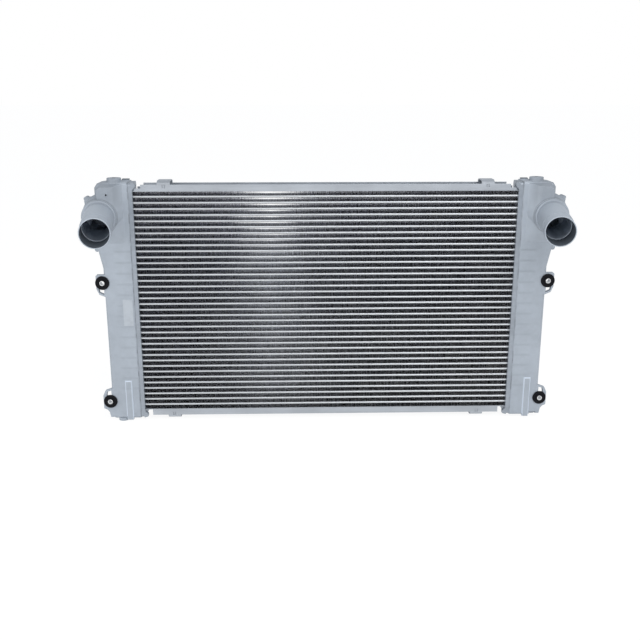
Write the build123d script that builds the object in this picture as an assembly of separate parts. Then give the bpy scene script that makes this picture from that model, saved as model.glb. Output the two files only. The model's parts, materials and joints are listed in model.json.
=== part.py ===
from build123d import *
import math
import os

# Charge air cooler for a heavy vehicle, in millimetres, seen from its hose side.
# X runs across the tubes, Y from the hose side to the far side, Z up.
# The origin is midway between the four mounting bushes, on the front ends of their sleeves.

# Mounting bushes, which set the frame of the whole part
BUSH_BEYOND_CORE = 92.5
BUSH_SPACING_Z = 335.0
BOLT_HOLE_R = 5.5
SLEEVE_WALL = 1.0
BUSH_FLANGE_R = 18.5
BUSH_WAIST_R = 10.0
BUSH_LIP_R = 12.0
BUSH_LIP = 3.0
BUSH_COLLAR_R = 10.5
BUSH_FLANGE = 4.0
BUSH_COLLAR = 1.5
SLEEVE_PROUD = 0.5
BUSH_EDGE_R = 1.5

# Core of tubes and fins
TUBE_COUNT = 37
TUBE_PITCH = 16.0
TUBE_THICKNESS = 5.6
TUBE_DEPTH = 52.0
TUBE_WALL = 0.6
CORE_WIDTH = 1007.0
LOWEST_TUBE_BELOW_BUSH = 14.0
FIN_DEPTH = 50.0
FIN_END_GAP = 1.5
TURBULATOR_WAVES = 6
TURBULATOR_FOIL = 0.3
TURBULATOR_GAP = 0.05

# Header plates
HEADER_GAUGE = 3.0
HEADER_RIM = 13.0
HEADER_RIM_WALL = 4.0
HEADER_CORNER_R = 8.0
TUBE_PROTRUSION = 3.0
BRAZE_GAP = 0.05
LOBE_REACH = 8.0
LOBE_HEIGHT = 18.0
LOBE_DEPTH = 12.0

# Cast end tanks
TANK_OVERHANG = 24.8
TANK_REACH = 75.5
TANK_WALL = 4.5
TANK_PROUD_Y = 8.0
TANK_STEP = 2.0
TANK_CORNER_R = 9.0
TANK_FRONT_EDGE_R = 8.0
TANK_REAR_EDGE_R = 5.0
SHOULDER_CHAMFER = 14.0
CAVITY_EDGE_R = 4.0

# Raised block that carries the hose stub
BLOCK_PROUD = 22.0
BLOCK_WALL = 5.5
BLOCK_TOP_DROP = 11.0
BLOCK_FOOT_DROP = 174.0
BLOCK_FACE_DROP = 122.0
BLOCK_SEAM_GAP = 3.0
BLOCK_SLOPE = 34.0
BLOCK_EDGE_R = 22.0
SCROLL_INSET = 11.5
SCROLL_DROP = 79.0
SCROLL_R = 51.5
SCROLL_WALL = 6.0
SCROLL_REAR_GAP = 12.0
SCROLL_FRONT_R = 45.5
SCROLL_FRONT_DROP = 4.0
SCROLL_FRONT_DEPTH = 16.0
SCROLL_EDGE_R = 5.0
SCROLL_TAPER = 105.0

# Hose stub
STUB_OUT = 7.0
STUB_BELOW = 8.0
STUB_LEAN_DEG = 9.0
STUB_DIP_DEG = 4.4
STUB_LENGTH = 171.8
NECK_R = 39.0
NECK_BORE_R = 34.0
COLLAR_R = 44.5
COLLAR_RIM = 8.0
COLLAR_EDGE_R = 3.0
HOSE_SEAT_R = 38.0
HOSE_SEAT_LENGTH = 44.0
TURNED_BORE_R = 35.5
TURNED_BORE_LENGTH = 64.0
RIM_CHAMFER = 0.8

# Mounting ears on the tanks, as reaches from their bush centres
EAR_THICKNESS = 12.0
EAR_ROOT = 10.0
EAR_CORNER = 3.0
EAR_HOLE_GAP = 0.1
HIGH_EAR_RIM = 17.0
HIGH_EAR_TOP = 21.5
HIGH_EAR_RIM_END = 16.0
HIGH_EAR_ELBOW_IN = 7.0
HIGH_EAR_ELBOW = 32.0
HIGH_EAR_FOOT = 38.0
LOW_EAR_RIM = 19.5
LOW_EAR_TOP = 36.0
LOW_EAR_SHOULDER = 32.5
LOW_EAR_RIM_TOP = 16.0
LOW_EAR_RIM_END = 21.0
LOW_EAR_ELBOW = 25.0
LOW_EAR_HEEL = 32.0
LOW_EAR_SOLE = 5.0
HOLE_TOP_GAP = 3.5
HIGH_HOLE_WIDTH = 15.0
HIGH_HOLE_KNEE_IN = 2.0
HIGH_HOLE_KNEE = 27.0
HIGH_HOLE_TIP = 33.0
LOW_HOLE_WIDTH = 14.0
LOW_HOLE_KNEE_IN = 2.0
LOW_HOLE_KNEE = 27.5
LOW_HOLE_TIP = 31.0
HOLE_WALL_GAP = 0.5
RELIEF_R = 13.0

# Bosses, lugs and ribs cast on the tanks
TOP_BOSS_R = 18.5
TOP_BOSS_HEIGHT = 10.0
TOP_BOSS_INSET = 40.0
TOP_BOSS_BACK = 20.0
TOP_BOSS_DIMPLE_R = 5.0
TOP_BOSS_DIMPLE = 3.0
TOP_PAD_INSET = 3.0
TOP_PAD_WIDTH = 18.0
TOP_PAD_DEPTH = 14.0
TOP_PAD_HEIGHT = 4.0
FOOT_BOSS_R = 14.0
FOOT_BOSS_HEIGHT = 7.0
FOOT_BOSS_INSET = 27.0
LUG_LENGTH = 26.0
HIGH_LUG_R = 5.2
HIGH_LUG_ANGLE_DEG = 39.0
HIGH_LUG_REACH = 6.3
LOW_LUG_R = 6.5
LOW_LUG_DROP = 176.0
LOW_LUG_OUT = 13.0
LUG_WEB_TOP = 19.5
LUG_WEB_BROW = 11.0
LUG_WEB_WAIST = 3.0
LUG_WEB_OUT = 5.0
LUG_WEB_SINK = 1.0
RIB_WIDTH = 16.5
RIB_HEIGHT = 3.0
RIB_TOP_RISE = 110.0
RIB_TIP_DROP = 3.0
RIB_EDGE_R = 1.5
RIB_INSET = {"left": 48.0, "right": 33.0}
VENT_R = 2.25
VENT_DEPTH = 6.0
VENT_PAD_R = 4.5
VENT_PAD = 0.6
VENT_PAD_ROOT = 3.0
VENT_INSET = 26.2
VENT_DROP = 29.6
NOTCH_WIDTH = 18.0
NOTCH_HEIGHT = 9.0
NOTCH_INSET = 3.0
NOTCH_DEPTH = 14.0

# Side plates and their clips
PLATE_GAUGE = 2.0
PLATE_FLANGE = 18.0
FLANGE_END_GAP = 20.5
TAB_HEIGHT = 8.0
TAB_END_GAP = 4.0
PLATE_END_GAP = 0.3
CLIP_INSET = 80.5
CLIP_WIDTH = 34.0
CLIP_GAUGE = 2.0
CLIP_SHOULDER = 5.0
CLIP_RISE = 10.0
CLIP_SLOPE = 10.0
CLIP_LEG = 10.0
CLIP_GAP = 0.1
SLIT_SPACING = 6.0
SLIT_WIDTH = 2.2
SLIT_HEIGHT = 9.0

# Blank label on the left tank
LABEL_WIDTH = 26.0
LABEL_HEIGHT = 73.0
LABEL_THICKNESS = 0.3
LABEL_SEAM_GAP = 3.0
LABEL_DROP = 311.0

# Places worked out from the sizes above
LOWEST_TUBE_Z = -BUSH_SPACING_Z / 2 - LOWEST_TUBE_BELOW_BUSH
FIN_HEIGHT = TUBE_PITCH - TUBE_THICKNESS
CORE_HALF = CORE_WIDTH / 2
EAR_FRONT_Y = SLEEVE_PROUD + BUSH_COLLAR + BUSH_FLANGE
EAR_REAR_Y = EAR_FRONT_Y + EAR_THICKNESS
TANK_FRONT_Y = EAR_FRONT_Y
CORE_FRONT_Y = TANK_FRONT_Y + TANK_PROUD_Y
CORE_REAR_Y = CORE_FRONT_Y + TUBE_DEPTH
CORE_MID_Y = (CORE_FRONT_Y + CORE_REAR_Y) / 2
CORE_BOTTOM_Z = LOWEST_TUBE_Z - TUBE_THICKNESS / 2 - FIN_HEIGHT
CORE_TOP_Z = CORE_BOTTOM_Z + TUBE_COUNT * TUBE_PITCH + FIN_HEIGHT
WEB_OUTER_X = CORE_HALF + HEADER_GAUGE
SEAM_X = CORE_HALF + HEADER_RIM
WALL_X = SEAM_X + TANK_REACH
TANK_TOP_Z = CORE_TOP_Z + TANK_OVERHANG
TANK_BOTTOM_Z = CORE_BOTTOM_Z - TANK_OVERHANG
TANK_REAR_Y = CORE_REAR_Y + TANK_PROUD_Y
HEADER_FRONT_Y = TANK_FRONT_Y + TANK_STEP
HEADER_REAR_Y = TANK_REAR_Y - TANK_STEP
HEADER_TOP_Z = TANK_TOP_Z - TANK_STEP
HEADER_BOTTOM_Z = TANK_BOTTOM_Z + TANK_STEP
BLOCK_FRONT_Y = TANK_FRONT_Y - BLOCK_PROUD
SCROLL_REAR_Y = TANK_REAR_Y - SCROLL_REAR_GAP
SCROLL_X = WALL_X - SCROLL_INSET
SCROLL_Z = TANK_TOP_Z - SCROLL_DROP
STUB_X = SCROLL_X + STUB_OUT
STUB_Z = SCROLL_Z - STUB_BELOW
COLLAR_FRONT_Y = BLOCK_FRONT_Y - COLLAR_RIM
BUSH_X = CORE_HALF + BUSH_BEYOND_CORE
BUSH_Z = BUSH_SPACING_Z / 2
SLEEVE_R = BOLT_HOLE_R + SLEEVE_WALL
CLIP_X = CORE_HALF - CLIP_INSET


def block(x0, x1, y0, y1, z0, z1):
    """A square block between two corners."""
    centre = ((x0 + x1) / 2, (y0 + y1) / 2, (z0 + z1) / 2)
    return Pos(*centre) * Box(abs(x1 - x0), abs(y1 - y0), abs(z1 - z0))


def front_plate(points, y0, y1):
    """A flat plate from y0 to y1 with an outline of (x, z) points."""
    outline = Polyline([(x, y0, z) for x, z in points], close=True)
    return extrude(make_face(outline), amount=y1 - y0, dir=(0, 1, 0))


def folded_strip(points, x0, x1):
    """A strip from x0 to x1 with a section of (y, z) points."""
    outline = Polyline([(x0, y, z) for y, z in points], close=True)
    return extrude(make_face(outline), amount=x1 - x0, dir=(1, 0, 0))


def rod_along_y(x, z, radius, y0, y1):
    """A round bar from y0 back to y1."""
    start = Plane(origin=(x, y0, z), z_dir=(0, 1, 0))
    return start * Cylinder(radius, y1 - y0, align=(Align.CENTER, Align.CENTER, Align.MIN))


def rod_along_z(x, y, radius, z0, z1):
    """A round bar from z0 up to z1."""
    return Pos(x, y, z0) * Cylinder(radius, z1 - z0, align=(Align.CENTER, Align.CENTER, Align.MIN))


def flat_tube_section(x, grow):
    """A flat tube's rounded section at the height of the lowest tube, grown on every side."""
    section = SlotOverall(TUBE_DEPTH + 2 * grow, TUBE_THICKNESS + 2 * grow)
    place = Plane(origin=(x, CORE_MID_Y, LOWEST_TUBE_Z), x_dir=(0, 1, 0), z_dir=(1, 0, 0))
    return place * section


def air_tube():
    """The lowest tube, which passes through both header plates."""
    half = WEB_OUTER_X + TUBE_PROTRUSION
    outer = extrude(flat_tube_section(-half, 0), amount=2 * half, dir=(1, 0, 0))
    inner = extrude(flat_tube_section(-half, -TUBE_WALL), amount=2 * half, dir=(1, 0, 0))
    return outer - inner


def turbulator():
    """The zigzag foil inside the lowest tube."""
    half = WEB_OUTER_X
    rise = TUBE_THICKNESS / 2 - TUBE_WALL - TURBULATOR_GAP
    reach = TUBE_DEPTH / 2 - TUBE_THICKNESS / 2
    step = reach / TURBULATOR_WAVES
    folds = range(-TURBULATOR_WAVES, TURBULATOR_WAVES + 1)
    upper = [(CORE_MID_Y + n * step, (rise if n % 2 else TURBULATOR_FOIL - rise)) for n in folds]
    lower = [(y, z - TURBULATOR_FOIL) for y, z in reversed(upper)]
    section = [(y, LOWEST_TUBE_Z + z) for y, z in upper + lower]
    return folded_strip(section, -half, half)


def fin_row():
    """The outer form of the fin row under the lowest tube."""
    half = CORE_HALF - FIN_END_GAP
    y0 = CORE_MID_Y - FIN_DEPTH / 2
    return block(-half, half, y0, y0 + FIN_DEPTH, CORE_BOTTOM_Z, CORE_BOTTOM_Z + FIN_HEIGHT)


def header_lobe(side_z):
    """A corner of the header plate that hooks over the end of a side plate."""
    edge = HEADER_TOP_Z if side_z > 0 else HEADER_BOTTOM_Z
    near = edge - side_z * LOBE_HEIGHT
    inner = CORE_HALF - LOBE_REACH
    slope = LOBE_REACH * side_z
    points = [
        (WEB_OUTER_X, edge),
        (CORE_HALF, edge),
        (inner, edge - slope / 3),
        (inner, near + slope),
        (CORE_HALF, near),
        (WEB_OUTER_X, near),
    ]
    return front_plate(points, HEADER_FRONT_Y, HEADER_FRONT_Y + LOBE_DEPTH)


def header_plate():
    """The right header plate, a shallow pan with a slot for each tube."""
    depth = HEADER_REAR_Y - HEADER_FRONT_Y
    height = HEADER_TOP_Z - HEADER_BOTTOM_Z
    middle = (HEADER_TOP_Z + HEADER_BOTTOM_Z) / 2
    outline = RectangleRounded(depth, height, HEADER_CORNER_R)
    hollow = RectangleRounded(
        depth - 2 * HEADER_RIM_WALL, height - 2 * HEADER_RIM_WALL, HEADER_CORNER_R - HEADER_RIM_WALL
    )
    face = Plane(origin=(CORE_HALF, CORE_MID_Y, middle), x_dir=(0, 1, 0), z_dir=(1, 0, 0))
    web = Plane(origin=(WEB_OUTER_X, CORE_MID_Y, middle), x_dir=(0, 1, 0), z_dir=(1, 0, 0))
    pan = extrude(face * outline, amount=HEADER_RIM)
    pan -= extrude(web * hollow, amount=HEADER_RIM)
    pan += header_lobe(1)
    pan += header_lobe(-1)
    slot = extrude(flat_tube_section(CORE_HALF - 1, BRAZE_GAP), amount=HEADER_GAUGE + 2, dir=(1, 0, 0))
    return pan - [Pos(0, 0, row * TUBE_PITCH) * slot for row in range(TUBE_COUNT)]


def tank_body():
    """The long box of the right tank, with its shoulder and the taper under the stub."""
    taper_z = TANK_TOP_Z - BLOCK_FOOT_DROP - SCROLL_TAPER / 2
    scroll_z = SCROLL_Z - SCROLL_R * math.sin(math.radians(HIGH_LUG_ANGLE_DEG))
    scroll_x = SCROLL_X + SCROLL_R * math.cos(math.radians(HIGH_LUG_ANGLE_DEG))
    brow_x = WALL_X + TANK_CORNER_R
    points = [
        (SEAM_X, TANK_BOTTOM_Z),
        (WALL_X, TANK_BOTTOM_Z),
        (WALL_X, taper_z),
        (WALL_X + TANK_CORNER_R, TANK_TOP_Z - BLOCK_FOOT_DROP - TANK_CORNER_R),
        (scroll_x, scroll_z),
        (brow_x, SCROLL_Z),
        (brow_x, TANK_TOP_Z - SHOULDER_CHAMFER),
        (brow_x - SHOULDER_CHAMFER / 2, TANK_TOP_Z - SHOULDER_CHAMFER / 4),
        (brow_x - 2 * SHOULDER_CHAMFER, TANK_TOP_Z),
        (SEAM_X, TANK_TOP_Z),
    ]
    body = front_plate(points, TANK_FRONT_Y, TANK_REAR_Y)
    corner = body.edges().filter_by(Axis.Y).sort_by(Axis.Z)
    corner = [e for e in corner if e.center().X > SEAM_X + 1 and e.center().Z < TANK_BOTTOM_Z + 1]
    body = fillet(corner, TANK_CORNER_R)
    front = [e for e in body.edges().group_by(Axis.Y)[0] if e.center().X > SEAM_X + 1]
    body = fillet(front, TANK_FRONT_EDGE_R)
    rear = [e for e in body.edges().group_by(Axis.Y)[-1] if e.center().X > SEAM_X + 1]
    return fillet(rear, TANK_REAR_EDGE_R)


def raised_block(inset):
    """The sloped block in front of the tank, or its hollow when inset by a wall."""
    near_x = SEAM_X + BLOCK_SEAM_GAP + inset
    far_x = WALL_X + TANK_CORNER_R - inset
    top_z = TANK_TOP_Z - inset
    base = [
        (near_x, TANK_TOP_Z - BLOCK_FOOT_DROP + inset),
        (WALL_X - inset, TANK_TOP_Z - BLOCK_FOOT_DROP + inset),
        (far_x - TANK_CORNER_R / 2, top_z - SHOULDER_CHAMFER),
        (far_x - 2 * TANK_CORNER_R, top_z - TANK_CORNER_R / 4),
        (near_x, top_z - TANK_CORNER_R / 4),
    ]
    face = [
        (near_x + BLOCK_SLOPE, TANK_TOP_Z - BLOCK_FACE_DROP + inset),
        (WALL_X - TANK_CORNER_R - inset, TANK_TOP_Z - BLOCK_FACE_DROP + inset),
        (WALL_X - inset, top_z - BLOCK_TOP_DROP - TANK_CORNER_R),
        (WALL_X - TANK_CORNER_R - inset, top_z - BLOCK_TOP_DROP),
        (near_x + BLOCK_SLOPE, top_z - BLOCK_TOP_DROP),
    ]
    y_base = TANK_FRONT_Y + TANK_FRONT_EDGE_R + inset
    y_face = BLOCK_FRONT_Y + inset
    foot = make_face(Polyline([(x, y_base, z) for x, z in base], close=True))
    head = make_face(Polyline([(x, y_face, z) for x, z in face], close=True))
    solid = loft([foot, head], ruled=True)
    if inset:
        return solid
    soft_x = near_x + BLOCK_SLOPE + 1
    soft_z = TANK_TOP_Z - BLOCK_FACE_DROP + 1
    front = solid.edges().group_by(Axis.Y)[0]
    soft = [e for e in front if e.center().X < soft_x or e.center().Z < soft_z]
    slanted = solid.edges().filter_by(lambda e: y_face + 1 < e.center().Y < y_base - 1)
    soft += [e for e in slanted if e.center().X < soft_x and e.center().Z < soft_z]
    return fillet(soft, BLOCK_EDGE_R)


def round_loft(start, end):
    """A round solid between two circles that face the front, each (x, y, z, radius)."""
    faces = [Plane(origin=(x, y, z), z_dir=(0, 1, 0)) * Circle(r) for x, y, z, r in (start, end)]
    return loft(faces, ruled=True)


def scroll(inset):
    """The round bulge of the tank behind the stub, or its hollow when inset by a wall."""
    rear_y = SCROLL_REAR_Y - inset
    front_y = BLOCK_FRONT_Y + SCROLL_FRONT_DROP
    middle_y = front_y + SCROLL_FRONT_DEPTH
    radius = SCROLL_R - inset
    drum = rod_along_y(SCROLL_X, SCROLL_Z, radius, middle_y, rear_y)
    if not inset:
        drum = fillet(drum.edges().filter_by(GeomType.CIRCLE).sort_by(Axis.Y)[-1], SCROLL_EDGE_R)
    start = (STUB_X, front_y + inset, STUB_Z, SCROLL_FRONT_R - inset)
    return drum + round_loft(start, (SCROLL_X, middle_y, SCROLL_Z, radius))


def stub_axis():
    """The stub's outward direction and the centre of its rim on the right tank."""
    lean = math.tan(math.radians(STUB_LEAN_DEG))
    dip = math.tan(math.radians(STUB_DIP_DEG))
    out = Vector(-lean, -1, -dip).normalized()
    root = Vector(STUB_X, BLOCK_FRONT_Y, STUB_Z)
    return out, root + out * STUB_LENGTH


def stub_rod(radius, start, length):
    """A round bar on the stub's axis, from a distance behind its rim further back."""
    out, rim = stub_axis()
    place = Plane(origin=rim - out * start, z_dir=-out)
    return place * Cylinder(radius, length, align=(Align.CENTER, Align.CENTER, Align.MIN))


def hose_stub():
    """The cast neck with its turned hose seat, which ends on the collar."""
    neck = stub_rod(NECK_R, HOSE_SEAT_LENGTH, STUB_LENGTH - HOSE_SEAT_LENGTH)
    seat = stub_rod(HOSE_SEAT_R, 0, HOSE_SEAT_LENGTH)
    rim = seat.edges().filter_by(GeomType.CIRCLE).sort_by(Axis.Y)[0]
    stub = neck + chamfer(rim, RIM_CHAMFER)
    behind = rod_along_y(STUB_X, STUB_Z, 2 * NECK_R, COLLAR_FRONT_Y, TANK_REAR_Y)
    return stub - behind - stub_bore()


def collar():
    """The round collar that carries the neck."""
    drum = rod_along_y(STUB_X, STUB_Z, COLLAR_R, COLLAR_FRONT_Y, BLOCK_FRONT_Y + BLOCK_WALL)
    return fillet(drum.edges().filter_by(GeomType.CIRCLE).sort_by(Axis.Y)[0], COLLAR_EDGE_R)


def stub_bore():
    """The air way through the stub, wider behind its rim where it is turned."""
    wide = stub_rod(TURNED_BORE_R, 0, TURNED_BORE_LENGTH)
    narrow = stub_rod(NECK_BORE_R, 0, STUB_LENGTH + 2 * SCROLL_WALL)
    return wide + narrow


def tank_hollow():
    """The air space inside the tank, open to the header plate."""
    box = block(
        SEAM_X - 1,
        WALL_X - TANK_WALL,
        TANK_FRONT_Y + TANK_WALL,
        TANK_REAR_Y - TANK_WALL,
        TANK_BOTTOM_Z + TANK_WALL,
        TANK_TOP_Z - TANK_WALL,
    )
    far = [e for e in box.edges() if e.center().X > WALL_X - TANK_WALL - 1]
    box = fillet(far, CAVITY_EDGE_R)
    hollow = box + scroll(SCROLL_WALL) + raised_block(BLOCK_WALL)
    for z in (BUSH_Z, -BUSH_Z):
        hollow -= rod_along_y(BUSH_X, z, RELIEF_R + TANK_WALL, TANK_FRONT_Y, TANK_REAR_Y)
    return hollow


def upper_ear():
    """The upper mounting ear, with the strut under its bush."""
    root = WALL_X - EAR_ROOT
    rim = BUSH_X + HIGH_EAR_RIM
    top = BUSH_Z + HIGH_EAR_TOP
    points = [
        (root, top),
        (rim - EAR_CORNER, top),
        (rim, top - EAR_CORNER),
        (rim, BUSH_Z - HIGH_EAR_RIM_END),
        (rim - HIGH_EAR_ELBOW_IN, BUSH_Z - HIGH_EAR_ELBOW),
        (WALL_X, BUSH_Z - HIGH_EAR_FOOT),
        (root, BUSH_Z - HIGH_EAR_FOOT - EAR_CORNER),
    ]
    return front_plate(points, EAR_FRONT_Y, EAR_REAR_Y)


def lower_ear():
    """The lower mounting ear, which runs down to the tank's foot."""
    root = WALL_X - EAR_ROOT
    rim = BUSH_X + LOW_EAR_RIM
    points = [
        (root, LOW_EAR_TOP - BUSH_Z),
        (WALL_X, LOW_EAR_TOP - BUSH_Z),
        (rim - 2 * EAR_CORNER, LOW_EAR_SHOULDER - BUSH_Z - EAR_CORNER),
        (rim, LOW_EAR_RIM_TOP - BUSH_Z),
        (rim, -BUSH_Z - LOW_EAR_RIM_END),
        (rim - 3 * EAR_CORNER, -BUSH_Z - LOW_EAR_ELBOW),
        (WALL_X + 3 * EAR_CORNER, -BUSH_Z - LOW_EAR_HEEL),
        (WALL_X + 2 * EAR_CORNER, TANK_BOTTOM_Z + LOW_EAR_SOLE),
        (root, TANK_BOTTOM_Z + LOW_EAR_SOLE),
    ]
    return front_plate(points, EAR_FRONT_Y, EAR_REAR_Y)


def ear_cuts():
    """The bush holes, the lightening holes beside them and the bolt reliefs behind."""
    near = WALL_X + HOLE_WALL_GAP
    top = BUSH_WAIST_R + HOLE_TOP_GAP
    y0 = EAR_FRONT_Y - 1
    y1 = EAR_REAR_Y + 1
    high_far = near + HIGH_HOLE_WIDTH
    low_far = near + LOW_HOLE_WIDTH
    high = [
        (near, BUSH_Z - top),
        (high_far, BUSH_Z - top),
        (high_far - HIGH_HOLE_KNEE_IN, BUSH_Z - HIGH_HOLE_KNEE),
        (near, BUSH_Z - HIGH_HOLE_TIP),
    ]
    low = [
        (near, top - BUSH_Z),
        (low_far, top - BUSH_Z),
        (low_far - LOW_HOLE_KNEE_IN, LOW_HOLE_KNEE - BUSH_Z),
        (near + HOLE_WALL_GAP, LOW_HOLE_TIP - BUSH_Z),
    ]
    cuts = [front_plate(high, y0, y1), front_plate(low, y0, y1)]
    for z in (BUSH_Z, -BUSH_Z):
        cuts.append(rod_along_y(BUSH_X, z, BUSH_WAIST_R + EAR_HOLE_GAP, y0, y1))
        cuts.append(rod_along_y(BUSH_X, z, RELIEF_R, EAR_REAR_Y, TANK_REAR_Y + 1))
    return cuts


def top_boss():
    """The round boss on top of the tank, with a dimple in its end."""
    x = WALL_X - TOP_BOSS_INSET
    crown = TANK_TOP_Z + TOP_BOSS_HEIGHT
    y = TANK_FRONT_Y + TOP_BOSS_BACK
    boss = rod_along_z(x, y, TOP_BOSS_R, TANK_TOP_Z - 2 * TANK_WALL, crown)
    boss = chamfer(boss.edges().group_by(Axis.Z)[-1], RIM_CHAMFER)
    return boss - rod_along_z(x, y, TOP_BOSS_DIMPLE_R, crown - TOP_BOSS_DIMPLE, crown + 1)


def top_pad():
    """The low pad at the back of the tank's top."""
    x0 = SEAM_X + TOP_PAD_INSET
    y1 = TANK_REAR_Y - TANK_REAR_EDGE_R
    return block(x0, x0 + TOP_PAD_WIDTH, y1 - TOP_PAD_DEPTH, y1, TANK_TOP_Z - 1, TANK_TOP_Z + TOP_PAD_HEIGHT)


def foot_boss():
    """The round boss under the tank."""
    x = WALL_X - FOOT_BOSS_INSET
    y = TANK_FRONT_Y + FOOT_BOSS_R
    return rod_along_z(x, y, FOOT_BOSS_R, TANK_BOTTOM_Z - FOOT_BOSS_HEIGHT, TANK_BOTTOM_Z + 1)


def casting_lugs():
    """The small round lugs beside the scroll, and the web that carries the upper one."""
    angle = math.radians(HIGH_LUG_ANGLE_DEG)
    y0 = TANK_FRONT_Y + TANK_FRONT_EDGE_R
    y1 = y0 + LUG_LENGTH
    x = SCROLL_X + (SCROLL_R + HIGH_LUG_REACH) * math.cos(angle)
    z = SCROLL_Z + (SCROLL_R + HIGH_LUG_REACH) * math.sin(angle)
    brow_x = WALL_X + TANK_CORNER_R
    rim = HIGH_LUG_R - LUG_WEB_SINK
    web = [
        (WALL_X - TANK_CORNER_R, SCROLL_Z),
        (WALL_X - TANK_CORNER_R, z + LUG_WEB_TOP),
        (brow_x, z + LUG_WEB_TOP),
        (brow_x, z + LUG_WEB_BROW),
        (brow_x + LUG_WEB_OUT, z + rim),
        (brow_x + 2 * LUG_WEB_OUT, z + LUG_WEB_WAIST),
        (x - HIGH_LUG_R, z + LUG_WEB_WAIST),
        (x, z + rim),
        (x + rim, z - HIGH_LUG_R),
        (SCROLL_X + SCROLL_R - HIGH_LUG_R, SCROLL_Z),
    ]
    high = rod_along_y(x, z, HIGH_LUG_R, y0, y1)
    low = rod_along_y(WALL_X + LOW_LUG_OUT, TANK_TOP_Z - LOW_LUG_DROP, LOW_LUG_R, y0, y1)
    return high + low + front_plate(web, y0, y1)


def foot_rib(side):
    """The raised upright rib on the front of the tank's foot."""
    x = WALL_X - RIB_INSET[side]
    y0 = TANK_FRONT_Y - RIB_HEIGHT
    z0 = TANK_BOTTOM_Z - RIB_TIP_DROP
    z1 = TANK_BOTTOM_Z + RIB_TOP_RISE
    rib = block(x - RIB_WIDTH / 2, x + RIB_WIDTH / 2, y0, TANK_FRONT_Y + TANK_FRONT_EDGE_R, z0, z1)
    return fillet(rib.edges().group_by(Axis.Y)[0], RIB_EDGE_R)


def vent():
    """The small blind hole above the left stub and the pad around it."""
    x = WALL_X - VENT_INSET
    z = TANK_TOP_Z - VENT_DROP
    pad = rod_along_y(x, z, VENT_PAD_R, BLOCK_FRONT_Y - VENT_PAD, BLOCK_FRONT_Y + VENT_PAD_ROOT)
    return pad, rod_along_y(x, z, VENT_R, BLOCK_FRONT_Y - 1, BLOCK_FRONT_Y - VENT_PAD + VENT_DEPTH)


def foot_notch():
    """The shallow notch in the underside of the right tank's foot."""
    x1 = WALL_X - NOTCH_INSET
    y0 = TANK_FRONT_Y - 1
    z0 = TANK_BOTTOM_Z - 1
    return block(x1 - NOTCH_WIDTH, x1, y0, y0 + NOTCH_DEPTH, z0, TANK_BOTTOM_Z + NOTCH_HEIGHT)


def end_tank(side):
    """One cast end tank, built on the right and mirrored for the left."""
    tank = tank_body() + raised_block(0) + scroll(0)
    tank += casting_lugs()
    tank += top_boss()
    tank += top_pad()
    tank += foot_rib(side)
    tank += upper_ear()
    tank += lower_ear()
    tank -= ear_cuts()
    tank += collar()
    if side == "left":
        pad, hole = vent()
        tank = tank + foot_boss() + pad - tank_hollow() - stub_bore() - hole
        return mirror(tank, about=Plane.YZ)
    return tank - tank_hollow() - stub_bore() - foot_notch()


def side_plate(side_z):
    """The folded channel over the core's top, or under its bottom."""
    edge = CORE_TOP_Z if side_z > 0 else CORE_BOTTOM_Z
    half = CORE_HALF - PLATE_END_GAP
    flange_half = CORE_HALF - FLANGE_END_GAP
    plate = block(-half, half, CORE_FRONT_Y, CORE_REAR_Y, edge, edge + side_z * PLATE_GAUGE)
    lip = edge + side_z * PLATE_FLANGE
    slit_end = lip - side_z * SLIT_HEIGHT
    slits = [CLIP_X - SLIT_SPACING / 2, CLIP_X + SLIT_SPACING / 2]
    for y0 in (CORE_FRONT_Y, CORE_REAR_Y - PLATE_GAUGE):
        y1 = y0 + PLATE_GAUGE
        plate += block(-flange_half, flange_half, y0, y1, edge, lip)
        if side_z > 0:
            tab_half = CORE_HALF - TAB_END_GAP
            plate += block(-tab_half, tab_half, y0, y1, edge, edge + TAB_HEIGHT)
        for x in slits + [-x for x in slits]:
            plate -= block(x - SLIT_WIDTH / 2, x + SLIT_WIDTH / 2, y0 - 1, y1 + 1, slit_end, lip)
    return plate


def clip(side_x, side_z):
    """A folded saddle clip that sits on both flanges of a side plate."""
    edge = CORE_TOP_Z if side_z > 0 else CORE_BOTTOM_Z
    lip = edge + side_z * PLATE_FLANGE
    leg = PLATE_GAUGE + CLIP_GAP
    half = [
        (0, 0),
        (0, CLIP_SHOULDER),
        (CLIP_SLOPE, CLIP_RISE),
    ]
    inner = [
        (CLIP_SLOPE + CLIP_GAUGE / 2, CLIP_RISE - CLIP_GAUGE),
        (leg + CLIP_GAUGE, CLIP_SHOULDER - CLIP_GAUGE / 2),
        (leg + CLIP_GAUGE, -CLIP_LEG),
        (leg, -CLIP_LEG),
        (leg, 0),
    ]
    front = [(CORE_FRONT_Y + y, lip + side_z * z) for y, z in half]
    rear = [(CORE_REAR_Y - y, lip + side_z * z) for y, z in reversed(half)]
    inner_front = [(CORE_FRONT_Y + y, lip + side_z * z) for y, z in inner]
    inner_rear = [(CORE_REAR_Y - y, lip + side_z * z) for y, z in reversed(inner)]
    section = front + rear + inner_rear + inner_front
    x = side_x * CLIP_X
    return folded_strip(section, x - CLIP_WIDTH / 2, x + CLIP_WIDTH / 2)


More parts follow.
